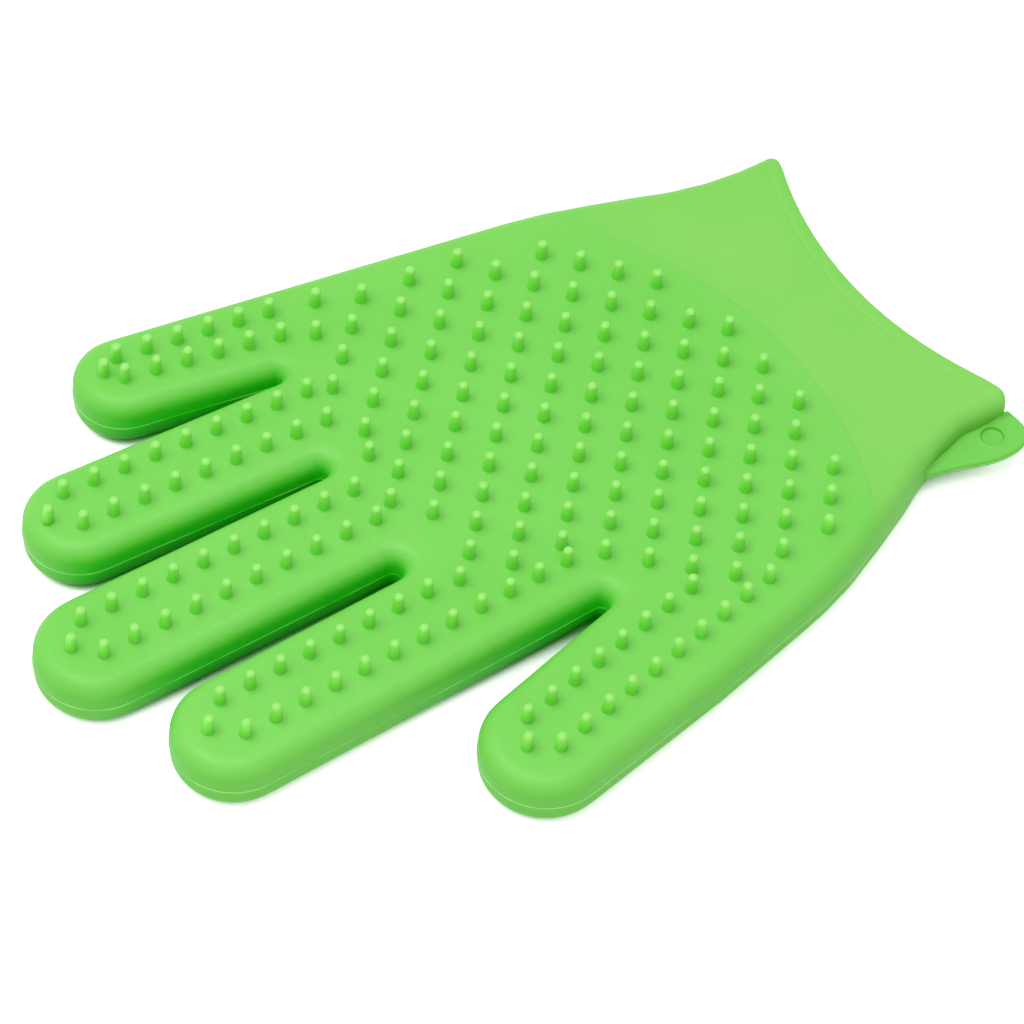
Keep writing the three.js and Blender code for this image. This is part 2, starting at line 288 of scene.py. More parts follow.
def real_corners(points):
    """Drops repeated points, points in the middle of a straight run, and the small steps that the edges of
    flex slots leave in the outline."""
    least_turn, sharp, step_length = 0.012, 0.5, 1.2
    apart = norm(np.diff(points, axis=0), axis=1)
    points = points[np.concatenate([[True], apart > 0.02])]
    points = points[np.abs(turns_of(points)) > least_turn]
    turn = turns_of(points)
    apart = norm(np.diff(points, axis=0), axis=1)
    opposite = (turn[:-1] * turn[1:] < 0) & (np.abs(turn[:-1]) > sharp) & (np.abs(turn[1:]) > sharp)
    step = opposite & (apart < step_length)
    return points[~(np.append(step, False) | np.append(False, step))]


def smooth_curve(points, spacing=0.25):
    """Centripetal Catmull-Rom curve through the points, sampled about every spacing mm."""
    longest = 6.5
    points = real_corners(points)
    dense = [points[0]]
    for a, b in zip(points[:-1], points[1:]):
        parts = max(1, math.ceil(norm(b - a) / longest))
        dense += [a + (b - a) * k / parts for k in range(1, parts + 1)]
    dense = np.array(dense)
    padded = np.vstack([2 * dense[0] - dense[1], dense, 2 * dense[-1] - dense[-2]])
    curve = []
    for p0, p1, p2, p3 in zip(padded[:-3], padded[1:-2], padded[2:-1], padded[3:]):
        k1 = math.sqrt(norm(p1 - p0))
        k2 = k1 + math.sqrt(norm(p2 - p1))
        k3 = k2 + math.sqrt(norm(p3 - p2))
        count = max(1, round(norm(p2 - p1) / spacing))
        for t in np.linspace(k1, k2, count, endpoint=False):
            a1 = (k1 - t) / k1 * p0 + t / k1 * p1
            a2 = (k2 - t) / (k2 - k1) * p1 + (t - k1) / (k2 - k1) * p2
            a3 = (k3 - t) / (k3 - k2) * p2 + (t - k2) / (k3 - k2) * p3
            b1 = (k2 - t) / k2 * a1 + t / k2 * a2
            b2 = (k3 - t) / (k3 - k1) * a2 + (t - k1) / (k3 - k1) * a3
            curve.append((k2 - t) / (k2 - k1) * b1 + (t - k1) / (k2 - k1) * b2)
    curve.append(dense[-1])
    return np.array(curve)


def running_mean(values, count):
    return np.convolve(np.pad(values, count // 2, mode="edge"), np.ones(count) / count, "valid")


def unit(vectors):
    return vectors / norm(vectors, axis=-1)[..., None]


def lengths_along(points):
    return np.concatenate([[0], np.cumsum(norm(np.diff(points, axis=0), axis=1))])


class Outline:
    """The plan outline as a smooth curve that can be read at any distance along it."""

    def __init__(self, points):
        self.points = smooth_curve(points)
        self.s = lengths_along(self.points)
        tangent = unit(np.gradient(self.points, self.s, axis=0))
        tangent = unit(np.stack([running_mean(tangent[:, k], 5) for k in (0, 1)], axis=1))
        self.inward = np.stack([-tangent[:, 1], tangent[:, 0]], axis=1)

    def at(self, s, inset=0.0):
        base = np.stack([np.interp(s, self.s, self.points[:, k]) for k in (0, 1)], axis=-1)
        inward = unit(np.stack([np.interp(s, self.s, self.inward[:, k]) for k in (0, 1)], axis=-1))
        return base + inward * np.asarray(inset)[..., None]

    def spaced(self, start, end):
        """Distances along the outline, closer together where it turns tightly."""
        sampling, straight = 0.25, 1e-4
        s = np.linspace(start, end, round((end - start) / sampling))
        across, along = (np.interp(s, self.s, self.inward[:, k]) for k in (1, 0))
        turn = running_mean(np.abs(np.gradient(np.unwrap(np.arctan2(across, along)), s)), 9)
        wanted = np.clip(STEP["per_radius"] / np.maximum(turn, straight), STEP["fine"], STEP["coarse"])
        count = np.concatenate([[0], np.cumsum(np.diff(s) / wanted[1:])])
        return np.interp(np.linspace(0, count[-1], round(count[-1]) + 1), count, s)


# ---- surface relief ----
def smoothstep(t):
    t = np.clip(t, 0, 1)
    return t * t * (3 - 2 * t)


def slow_noise(points, size, seed):
    return np.array([noise.noise(Vector((x / size, y / size, seed))) for x, y in points])


def front_relief(points, wrist_y):
    """How far the front panel stands above its flat height, over points in plan."""
    x, y = points[:, 0], points[:, 1]
    from_edge = y - wrist_y(x)
    groove = HEM["depth"] * np.exp(-((from_edge - HEM["at"]) / HEM["half"]) ** 2)
    hem = HEM["raise"] * smoothstep((HEM["at"] - from_edge) / HEM["half"] + 0.5)
    centre = PALM_STEP["centre"]
    reach = np.hypot(x - centre[0], y - centre[1]) - PALM_STEP["radius"]
    full, gone = PALM_STEP_FADE
    fade = smoothstep((WRIST_Y + gone - y) / (gone - full))
    step = PALM_STEP["height"] * smoothstep(reach / (2 * PALM_STEP["half"]) + 0.5) * fade
    swell = SWELL["height"] * slow_noise(points, SWELL["size"], 3.0)
    return swell + hem - groove - step


def back_relief(points):
    """How far the back panel stands above the table, never below it."""
    return 0.6 * SWELL["height"] * (1 + slow_noise(points, SWELL["size"], 11.0))


# ---- the skin ----
class Skin:
    """Vertices and faces of the whole moulding, each face with the plan place that decides its piece."""

    def __init__(self):
        self.vertices, self.hollow, self.rise, self.faces, self.places = [], [], [], [], []
        self.count = 0

    def add_points(self, points, hollow=0.0, rise=0.0):
        """Adds vertices. hollow says how deep between two digits each one lies, from 0 to 1, and rise how
        far up a nub it is, in mm."""
        first = self.count
        self.vertices.append(np.asarray(points, float))
        self.hollow.append(np.broadcast_to(hollow, len(points)))
        self.rise.append(np.broadcast_to(rise, len(points)))
        self.count += len(points)
        return np.arange(first, self.count)

    def add_face(self, corners, place):
        self.faces.append(tuple(int(c) for c in corners))
        self.places.append(place)

    def add_strip(self, upper, lower, places, flip=False):
        for i in range(len(upper) - 1):
            corners = (upper[i], lower[i], lower[i + 1], upper[i + 1])
            self.add_face(corners[::-1] if flip else corners, places[i])

    def points(self):
        return np.vstack(self.vertices)


def round_angles():
    return [math.pi / 2 * k / ROUND_STEPS for k in range(ROUND_STEPS + 1)]


def side_profile(lining):
    """Inset and height of each ring of the side, from the front panel to the back panel, for the outer
    skin or for the lining. Both have the same number of rings."""
    shift = WALL if lining else 0.0
    radius = EDGE_R - shift
    bead = 0 if lining else BEAD["height"]
    half_wall = FRONT_Z - EDGE_R - PARTING_Z
    rings = [(shift + radius * (1 - math.sin(a)), FRONT_Z - shift - radius * (1 - math.cos(a)))
             for a in round_angles()]
    rings += [(shift, PARTING_Z + half_wall * share) for share in WALL_RINGS]
    rings += [(shift - proud * bead, PARTING_Z + across * BEAD["half"]) for across, proud in BEAD_SHAPE]
    rings += [(shift, PARTING_Z - half_wall * share) for share in reversed(WALL_RINGS)]
    rings += [(shift + radius * (1 - math.sin(a)), shift + radius * (1 - math.cos(a)))
              for a in reversed(round_angles())]
    return rings


def wrist_crossing(outline, distances, inset, wrist_y):
    """Distance along the outline where a line at this inset meets the wrist edge."""
    inside = outline.at(distances, np.full(len(distances), inset))
    beyond = inside[:, 1] - wrist_y(inside[:, 0])
    k = int(np.argmax(beyond > 0))
    share = beyond[k - 1] / (beyond[k - 1] - beyond[k])
    return distances[k - 1] + share * (distances[k] - distances[k - 1])


def trimmed(outline, s, insets, wrist_y):
    """Distances along the outline with both ends moved to where an inset ring meets the wrist edge."""
    reach, stretch, samples = 34.0, 16.0, 1400
    fine = np.linspace(0, reach, samples)
    start = wrist_crossing(outline, fine, insets[0], wrist_y)
    end = wrist_crossing(outline, outline.s[-1] - fine, insets[-1], wrist_y)
    near, far = s[0] + stretch, s[-1] - stretch
    moved = np.where(s < near, near - (near - s) * (near - start) / (near - s[0]), s)
    return np.where(s > far, far + (s - far) * (end - far) / (s[-1] - far), moved)


def width_at(loop, directions):
    """Distance from each point of a closed loop straight across to the loop's other side."""
    tiny, itself, widest = 1e-9, 0.05, 50.0
    widths = []
    side = np.roll(loop, -1, axis=0) - loop
    for point, direction in zip(loop, directions):
        to = loop - point
        across = direction[0] * side[:, 1] - direction[1] * side[:, 0]
        across = np.where(np.abs(across) < tiny, tiny, across)
        reach = (to[:, 0] * side[:, 1] - to[:, 1] * side[:, 0]) / across
        share = (to[:, 0] * direction[1] - to[:, 1] * direction[0]) / across
        widths.append(reach[(share >= 0) & (share < 1) & (reach > itself)].min(initial=widest))
    return np.array(widths)


def closeness(outline, s):
    """How closed in each place of the outline is by the digits beside it, from 0 to 1."""
    loop = outline.at(s, np.zeros(len(s)))
    outward = loop - outline.at(s, np.ones(len(s)))
    total = np.zeros(len(s))
    for degrees in HOLLOW_LOOKS:
        c, d = math.cos(math.radians(degrees)), math.sin(math.radians(degrees))
        turned = outward @ np.array([[c, d], [-d, c]])
        total += np.exp(-width_at(loop, turned) / HOLLOW["reach"])
    return smoothstep(running_mean(total / len(HOLLOW_LOOKS), 7) / HOLLOW["full"])


def cuff_share(y):
    low, high = CUFF_EDGE_FADE
    return smoothstep((high - y) / (high - low))


def side_rings(outline, s, profile, wrist_y, lining):
    """Ring points of the side, as an array of rings by points by x, y, z."""
    shift = WALL if lining else 0.0
    half_wall = FRONT_Z - EDGE_R - PARTING_Z
    plain = outline.at(s, np.zeros(len(s)))
    rings = []
    for inset, z in profile:
        if inset > shift:
            tighter = (1 - CUFF_EDGE_R / EDGE_R) * cuff_share(plain[:, 1]) * (z > PARTING_Z)
            insets = shift + (inset - shift) * (1 - tighter)
        else:
            insets = np.full(len(s), inset - WALL_DRAFT * (1 - abs(z - PARTING_Z) / half_wall))
        flat = outline.at(trimmed(outline, s, insets, wrist_y), insets)
        front = front_relief(flat, wrist_y) * max(0.0, (z - PARTING_Z) / (FRONT_Z - PARTING_Z))
        back = back_relief(flat) * max(0.0, (PARTING_Z - z) / PARTING_Z)
        rings.append(np.column_stack([flat, z + front + back]))
    return np.array(rings)


def inside_polygon(points, polygon):
    """Even-odd test of many points against one polygon."""
    x, y = points[:, 0], points[:, 1]
    inside = np.zeros(len(points), bool)
    for (x0, y0), (x1, y1) in zip(polygon, np.roll(polygon, -1, axis=0)):
        if y0 == y1:
            continue
        crosses = (y0 > y) != (y1 > y)
        inside ^= crosses & (x < (x1 - x0) * (y - y0) / (y1 - y0) + x0)
    return inside


def gap_to(points, others, radii=0.0):
    """Distance from each point to the nearest of some circles, given by their centres and radii."""
    batch = 500
    gaps = np.full(len(points), np.inf)
    for k in range(0, len(points), batch):
        apart = norm(points[k:k + batch, None, :] - others[None, :, :], axis=2)
        gaps[k:k + batch] = (apart - radii).min(axis=1, initial=np.inf)
    return gaps


def circle_of(radius, sides):
    angles = np.arange(sides) * 2 * math.pi / sides
    return radius * np.column_stack([np.cos(angles), np.sin(angles)])


def triangle_grid(low, high, spacing):
    """Points of an even triangular grid that covers a rectangle."""
    rows = []
    for k, y in enumerate(np.arange(low[1], high[1], spacing * math.sqrt(3) / 2)):
        x = np.arange(low[0] + (k % 2) * spacing / 2, high[0], spacing)
        rows.append(np.column_stack([x, np.full(len(x), y)]))
    return np.vstack(rows)


def relief_rows(wrist_y):
    """Rows of plan points that follow the palm's step and the hem, close enough to carry their shape."""
    centre, radius = PALM_STEP["centre"], PALM_STEP["radius"]
    half_width = 60.0
    rows = []
    for across in PALM_STEP_ROWS:
        angle = np.arange(-0.75 * math.pi, -0.25 * math.pi, RELIEF_GRID / radius)
        reach = radius + across * PALM_STEP["half"]
        rows.append(centre + reach * np.column_stack([np.cos(angle), np.sin(angle)]))
    for across in HEM_ROWS:
        x = np.arange(-half_width, half_width, RELIEF_GRID)
        rows.append(np.column_stack([x, wrist_y(x) + HEM["at"] + across * HEM["half"]]))
    return np.vstack(rows)


def free_points(border, holes, radii, spacing, rows):
    """Points between a panel's border and its holes: given rows of them, and an even grid elsewhere."""
    from_border, from_hole, row_from_border, row_from_hole, from_row = 0.62, 0.55, 0.5, 0.4, 0.9
    free = triangle_grid(border.min(axis=0), border.max(axis=0), spacing)
    free = free[inside_polygon(free, border)]
    free = free[(gap_to(free, border) > from_border * spacing)
                & (gap_to(free, holes, radii) > from_hole * spacing)]
    if rows is None:
        return free
    rows = rows[inside_polygon(rows, border)]
    rows = rows[(gap_to(rows, border) > row_from_border) & (gap_to(rows, holes, radii) > row_from_hole)]
    return np.vstack([rows, free[gap_to(free, rows) > from_row]])


def panel_mesh(border, holes, radii, sides, spacing, rows=None):
    """Triangulates a panel inside border with round holes. Returns plan points and triangles.
    The border's points come first, then each hole's ring of points, then the free points."""
    rings = [centre + circle_of(radius, sides) for centre, radius in zip(holes, radii)]
    points = np.vstack([border, *rings, free_points(border, holes, radii, spacing, rows)])
    edges = [(i, (i + 1) % len(border)) for i in range(len(border))]
    for h in range(len(holes)):
        first = len(border) + h * sides
        edges += [(first + k, first + (k + 1) % sides) for k in range(sides)]
    whole_area, merge_distance, slack = 0, 1e-5, 0.05
    made, _, triangles, origin, _, _ = delaunay_2d_cdt(
        [Vector(p) for p in points], edges, [], whole_area, merge_distance, True)
    if len(made) != len(points):
        raise ValueError(f"panel border crosses itself: {len(points)} points became {len(made)}")
    index = np.array([source[0] for source in origin])
    triangles = index[np.array([t for t in triangles if len(t) == 3])]
    middles = points[triangles].mean(axis=1)
    flat_radii = radii * math.cos(math.pi / sides) - slack
    keep = inside_polygon(middles, border) & (gap_to(middles, holes, flat_radii) > 0)
    return points, triangles[keep]


def nub_rings(foot_radius):
    """Radius and height of each ring of a nub: the fillet at its foot, its tapered shaft and its dome."""
    rings = []
    steps = NUB_RINGS["fillet"]
    for k in range(1, steps + 1):
        a = math.pi / 2 * k / steps
        spread = (foot_radius - NUB["base"]) * (1 - math.sin(a))
        rings.append((NUB["base"] + spread, NUB["fillet"] * (1 - math.cos(a))))
    shoulder = NUB_HEIGHT - NUB["dome"]
    for share in NUB_RINGS["shaft"]:
        radius = NUB["base"] + (NUB["tip"] - NUB["base"]) * share
        rings.append((radius, NUB["fillet"] + (shoulder - NUB["fillet"]) * share))
    for degrees in NUB_RINGS["dome"]:
        a = math.radians(degrees)
        rings.append((NUB["tip"] * math.cos(a), shoulder + NUB["dome"] * math.sin(a)))
    rings.append((0.0, NUB_HEIGHT))
    return rings


def add_loft(skin, foot, centre, z, rings, lean):
    """Lofts round rings up from a hole's ring of vertices. The last ring is a point on the axis."""
    below = foot
    circle = circle_of(1.0, len(foot))
    for radius, height in rings[:-1]:
        middle = centre + lean * height
        ring = np.column_stack([middle + radius * circle, np.full(len(foot), z + height)])
        above = skin.add_points(ring, rise=height)
        close_loop(skin, below, above, [centre] * len(foot))
        below = above
    height = rings[-1][1]
    tip = skin.add_points([(*(centre + lean * height), z + height)], rise=height)[0]
    for k in range(len(foot)):
        skin.add_face((below[k], below[(k + 1) % len(foot)], tip), tuple(centre))


def add_triangles(skin, index, plan, triangles, upward):
    """Adds a flat panel's triangles, facing up or down."""
    middles = plan[triangles].mean(axis=1)
    sides = plan[triangles[:, 1:]] - plan[triangles[:, :1]]
    anticlockwise = sides[:, 0, 0] * sides[:, 1, 1] - sides[:, 0, 1] * sides[:, 1, 0] > 0
    for corners, middle, turn in zip(index[triangles], middles, anticlockwise):
        skin.add_face(corners if turn == upward else corners[::-1], tuple(middle))


def wrist_run(left, right, wrist_y, count):
    """Points of the wrist edge between its left and right end, in plan, without the ends."""
    x = left + (right - left) * np.linspace(0, 1, count + 2)[1:-1]
    return np.column_stack([x, wrist_y(x)])


def add_nubs(skin, feet, centres, radii, wrist_y):
    """Lofts a nub on each foot, a ring of vertices, with a slightly different lean for each."""
    rng = random.Random(7)
    relief = front_relief(centres, wrist_y)
    for foot, centre, radius, up in zip(feet, centres, radii, relief):
        lean = NUB_LEAN + NUB_UNEVEN * np.array([rng.uniform(-1, 1), rng.uniform(-1, 1)])
        add_loft(skin, foot, centre, FRONT_Z + up, nub_rings(radius), lean)


def add_panel(skin, ring, is_front, lining, wrist_y, nubs):
    """Adds one panel inside the side's last ring. ring holds the indices of that ring's vertices.
    Returns the indices along the wrist edge, from left to right."""
    points = skin.points()[ring]
    run = wrist_run(points[-1, 0], points[0, 0], wrist_y, WRIST_STEPS)
    border = np.vstack([points[:, :2], run])
    has_nubs = is_front and not lining
    holes = nubs if has_nubs else np.zeros((0, 2))
    radii = np.minimum(NUB["base"] + NUB["spread"], gap_to(holes, border) - NUB_CLEAR)
    spacing = LINING_GRID if lining else PANEL_GRID
    rows = relief_rows(wrist_y) if has_nubs else None
    plan, triangles = panel_mesh(border, holes, radii, NUB["sides"], spacing, rows)
    fresh = plan[len(points):]
    if is_front:
        z = FRONT_Z - (WALL if lining else 0) + front_relief(fresh, wrist_y)
    else:
        z = (WALL if lining else 0) + back_relief(fresh)
    index = np.concatenate([ring, skin.add_points(np.column_stack([fresh, z]))])
    add_triangles(skin, index, plan, triangles, is_front != lining)
    feet = index[len(border):len(border) + len(holes) * NUB["sides"]].reshape(-1, NUB["sides"])
    add_nubs(skin, feet, holes, radii, wrist_y)
    return index[len(points):len(border)]


def add_shell(skin, outline, s, wrist_y, nubs, lining):
    """Adds the outer skin or the lining. Returns its closed loop of vertices round the wrist opening."""
    profile = side_profile(lining)
    rings = side_rings(outline, s, profile, wrist_y, lining)
    closed_in = closeness(outline, s)
    index = []
    for ring in rings:
        z = ring[:, 2]
        depth = smoothstep((FRONT_Z - z) / (FRONT_Z - PARTING_Z)) * smoothstep(z / HOLLOW["foot"])
        index.append(skin.add_points(ring, closed_in * depth * (not lining)))
    for j in range(len(index) - 1):
        middles = (rings[j][:-1, :2] + rings[j + 1][1:, :2]) / 2
        places = [tuple(p) for p in middles]
        skin.add_strip(index[j], index[j + 1], places, flip=lining)
    front = add_panel(skin, index[0], True, lining, wrist_y, nubs)
    back = add_panel(skin, index[-1], False, lining, wrist_y, nubs)
    left = [ring[-1] for ring in index]
    right = [ring[0] for ring in index]
    return np.array([*left, *back, *right[::-1], *front[::-1]])


def add_rim(skin, outer, inner):
    """Rolls the outer skin over into the lining round the wrist opening."""
    points = skin.points()
    a, b = points[outer], points[inner]
    along = np.roll(a, -1, axis=0) - np.roll(a, 1, axis=0)
    away = unit(np.cross(along, a - b))
    away *= np.where(away[:, 1] > 0, -1, 1)[:, None]
    thick = norm(a - b, axis=1)[:, None]
    below = outer
    for degrees in RIM_ANGLES:
        t = math.radians(degrees)
        share = (1 - math.cos(t)) / 2
        ring = a + (b - a) * share + away * np.minimum(thick / 2, LIP) * math.sin(t)
        above = skin.add_points(ring)
        close_loop(skin, below, above, points[outer])
        below = above
    close_loop(skin, below, inner, points[outer])


def close_loop(skin, below, above, places):
    for k in range(len(below)):
        following = (k + 1) % len(below)
        skin.add_face((below[k], below[following], above[following], above[k]), tuple(places[k][:2]))


# ---- pieces ----
# Half the width of each digit, and how far below its first hinge line its own skin starts: at its left
# wall, over its middle and at its right wall, just above the slots beside it and between two rows of nubs.
DIGITS = {
    "index": (16.4, (9.0, 9.0, 9.0)), "middle": (16.4, (9.0, 9.0, 9.0)), "ring": (15.0, (4.3, 9.0, 9.0)),
    "little": (14.0, (7.8, 8.7, 8.7)), "thumb": (18.2, (8.5, 8.5, 2.5)),
}
ROOT_BLENDS = {"ring": (3.4, 5.4), "thumb": (1.8, 6.5)}  # other reaches before and after the first hinge


def read_digits():
    """Each digit's hinges in order, their places and its direction in plan, from the record's joints."""
    digits = {}
    for name, (half, roots) in DIGITS.items():
        joints = [f"{name}_{part}" for part in ("knuckle", "mid", "end")]
        hinges = [JOINTS[joint] for joint in joints if joint in JOINTS]
        places = [np.array(hinge["pos_m"][:2]) / MM for hinge in hinges]
        along = unit(places[-1] - places[0])
        digits[name] = {"hinges": hinges, "places": places, "along": along,
                        "right": np.array([along[1], -along[0]]), "half": half, "roots": roots}
    return digits


def piece_names(digits):
    names = ["palm_and_cuff"]
    for name, digit in digits.items():
        names += [f"{name}_skin_{k + 1}" for k in range(len(digit["hinges"]))]
    return names


def piece_of(points, digits):
    """Number of the piece that each plan point belongs to."""
    piece = np.zeros(len(points), int)
    first, beside, wall_width = 1, 1.2, 6.0
    for digit in digits.values():
        offset = points - digit["places"][0]
        along, across = offset @ digit["along"], offset @ digit["right"]
        half = digit["half"]
        left, middle, right = digit["roots"]
        root = -np.interp(across, [-half, wall_width - half, half - wall_width, half],
                          [left, middle, middle, right])
        number = np.full(len(points), first)
        for k, place in enumerate(digit["places"][:-1]):
            reach = (place - digit["places"][0]) @ digit["along"] + CUT_PAST_HINGE
            number = np.where(along > reach, first + k + 1, number)
        piece = np.where((np.abs(across) < half + beside) & (along > root), number, piece)
        first += len(digit["places"])
    return piece


def mesh_of(name, points, faces):
    mesh = bpy.data.meshes.new(name)
    mesh.from_pydata([tuple(p) for p in points * MM], [], faces)
    mesh.update()
    mesh.polygons.foreach_set("use_smooth", [True] * len(mesh.polygons))
    return mesh


def linked(name, data):
    """A new object that shows some data, in the scene."""
    made = bpy.data.objects.new(name, data)
    bpy.context.scene.collection.objects.link(made)
    return made


def object_of(name, mesh, material):
    mesh.materials.append(material)
    return linked(name, mesh)


def split_skin(skin, digits, material):
    """Makes one object for each piece, with the normals of the whole skin, so that no seam shows."""
    points = skin.points()
    whole = mesh_of("whole_skin", points, skin.faces)
    normals = np.zeros(len(points) * 3, np.float32)
    whole.vertex_normals.foreach_get("vector", normals)
    normals = normals.reshape(-1, 3)
    bpy.data.meshes.remove(whole)
    tints = {"hollow": np.concatenate(skin.hollow), "rise": np.concatenate(skin.rise)}
    pieces = piece_of(np.array(skin.places), digits)
    made = {}
    for number, name in enumerate(piece_names(digits)):
        faces = [skin.faces[k] for k in np.where(pieces == number)[0]]
        used = np.unique(np.concatenate([np.array(face) for face in faces]))
        renumber = {int(old): new for new, old in enumerate(used)}
        mesh = mesh_of(name, points[used], [[renumber[c] for c in face] for face in faces])
        mesh.normals_split_custom_set_from_vertices([tuple(n) for n in normals[used]])
        for tint, values in tints.items():
            attribute = mesh.attributes.new(tint, "FLOAT", "POINT")
            attribute.data.foreach_set("value", values[used].astype(np.float32))
        made[name] = object_of(name, mesh, material)
    return made


def blend_between(piece, parent, child, start, end):
    """Bakes a piece's transform into its mesh, without bending it; parent, child and the two plan points
    start and end, in mm, are not used.
    """
    start, end = np.array(start) * MM, np.array(end) * MM
    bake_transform(piece)


def rig_pieces(made, digits):
    """Bakes each piece's transform and hides the CAD nodes that it covers."""
    palm = made["palm_and_cuff"]
    cuff_side, palm_side = WRIST_BLEND
    blend_between(palm, "palm", "cuff", (0, WRIST_Y + palm_side), (0, WRIST_Y - cuff_side))
    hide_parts("palm_front", "palm_back", "cuff_front", "cuff_back")
    for name, digit in digits.items():
        for k, (hinge, place) in enumerate(zip(digit["hinges"], digit["places"])):
            piece = made[f"{name}_skin_{k + 1}"]
            before, after = BLEND_HALF, BLEND_HALF
            if k == 0 and name in ROOT_BLENDS:
                before, after = ROOT_BLENDS[name]
            start, end = place - before * digit["along"], place + after * digit["along"]
            blend_between(piece, hinge["parent"], hinge["child"], start, end)
            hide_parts(f"{hinge['child']}_front", f"{hinge['child']}_back")


# ---- hang tab ----
TAB = {"edge_r": 1.0, "bury": 1.0, "bend": (0.4, 2.8), "fillet": 0.9, "longer": 1.0, "root_longer": 0.12}
TAB_MESH = {"points": 96, "grid": 1.3, "eye_sides": 40, "edge_steps": 5, "row_spacing": 0.6,
            "rows": (-0.45, 0.0, 0.3, 0.6, 0.95)}  # rows along the wall, so far past it
EYE_LIP = ((0.42, 0.05), (0.28, 0.12), (0.12, 0.1), (0.02, -0.06), (-0.04, -0.4))  # past its radius, up
EYE_FLOOR = ((-0.12, 0.14), (-0.32, 0.02))  # the same for the rounding at its floor
EYE_DEEPER = 1.35  # the eye's depth over the CAD's


def wall_beyond(points, outline):
    """How far the cuff's wall lies past the tab's hinge line, level with each plan point."""
    hinge, axis, out = tab_frame()
    around = 40.0
    near = outline.points[norm(outline.points - hinge, axis=1) < around] - hinge
    order = np.argsort(near @ axis)
    return np.interp((points - hinge) @ axis, (near @ axis)[order], (near @ out)[order])


def evenly(loop, count):
    """A closed loop with count evenly spaced points."""
    s = lengths_along(loop)
    even = np.linspace(0, s[-1], count, endpoint=False)
    return np.column_stack([np.interp(even, s, loop[:, k]) for k in (0, 1)])


def softened(values, rounds):
    """A closed loop's values, drawn towards their neighbours some times over."""
    for _ in range(rounds):
        values = (np.roll(values, 1, axis=0) + 2 * values + np.roll(values, -1, axis=0)) / 4
    return values


def tab_loop(low_z, high_z, outline):
    """The tab's plan outline, evenly spaced and anticlockwise, with its root inside the cuff's wall."""
    level, root_depth, free_reach, rounds = 0.3, 0.1, 1.8, 6
    corners, normals = node_triangles(["hang_tab"])
    segments = [(a, b) for a, b, _ in cuts_at(corners, normals, low_z + level * (high_z - low_z))]
    loop = join_cuts(segments, segments[0][0], 0.0)
    hinge, axis, out = tab_frame()
    along = (loop - hinge) @ axis
    loop = loop - np.outer(TAB["longer"] * smoothstep(-along / -along.min()), axis)
    loop = evenly(loop, 4 * TAB_MESH["points"])
    past = (loop - hinge) @ out
    on_root = past < past.min() + root_depth
    longer = TAB["root_longer"] * np.maximum((loop - hinge) @ axis, 0)
    loop = loop + np.outer(np.where(on_root, longer, 0), axis)
    loop = loop - np.outer(np.where(on_root, past + TAB["bury"] - wall_beyond(loop, outline), 0), out)
    loop = evenly(loop, TAB_MESH["points"])
    free = ((loop - hinge) @ out > free_reach + wall_beyond(loop, outline))[:, None]
    for _ in range(rounds):
        loop = np.where(free, softened(loop, 1), loop)
    x, y = loop[:, 0], loop[:, 1]
    area = np.sum(x * np.roll(y, -1) - y * np.roll(x, -1))
    return loop if area > 0 else loop[::-1]


def tab_insets(loop, inward, outline):
    """Width of the tab's rounded edge, less where the tab is narrow and none at the ends of its root."""
    narrow_share, root_share, buried, rounds = 0.3, 0.13, 0.5, 4
    hinge, _, out = tab_frame()
    root = loop[(loop - hinge) @ out < wall_beyond(loop, outline) - buried * TAB["bury"]]
    root_ends = root[[np.argmax(root[:, 1]), np.argmin(root[:, 1])]]
    insets = softened(np.minimum(TAB["edge_r"], narrow_share * width_at(loop, inward)), rounds)
    return np.minimum(insets, root_share * gap_to(loop, root_ends))


def read_eye(low_z, high_z):
    """Plan centre, radius and floor height of the tab's eye."""
    skin_depth = 0.3
    points = node_triangles(["hang_tab"])[0].reshape(-1, 3)
    floor = points[(points[:, 2] > low_z + skin_depth) & (points[:, 2] < high_z - skin_depth)]
    plan = np.unique(np.round(floor[:, :2], 3), axis=0)
    return (plan.min(axis=0) + plan.max(axis=0)) / 2, np.ptp(plan[:, 1]) / 2, floor[:, 2].max()


def add_tab_face(skin, ring, border, is_top, level, eye, eye_r, outline):
    """Adds the tab's top or bottom, filleted up the cuff's wall. Returns the vertices round the eye."""
    hinge, axis, out = tab_frame()
    eye_gap, run = 0.2, 20.0
    holes = eye[None, :] if is_top else np.zeros((0, 2))
    radii = np.full(len(holes), eye_r + EYE_LIP[0][0] + eye_gap)
    line = hinge + np.outer(np.arange(-run, run, TAB_MESH["row_spacing"]), axis)
    rows = np.vstack([line + np.outer(wall_beyond(line, outline) + past, out) for past in TAB_MESH["rows"]])
    plan, triangles = panel_mesh(border, holes, radii, TAB_MESH["eye_sides"], TAB_MESH["grid"], rows)
    fresh = plan[len(border):]
    past = (fresh - hinge) @ out - wall_beyond(fresh, outline)
    fillet = TAB["fillet"] * np.clip(1 - past / TAB["fillet"], 0, 1) ** 2
    z = level + fillet if is_top else level - fillet
    index = np.concatenate([ring, skin.add_points(np.column_stack([fresh, z]))])
    add_triangles(skin, index, plan, triangles, is_top)
    return index[len(border):len(border) + TAB_MESH["eye_sides"]]


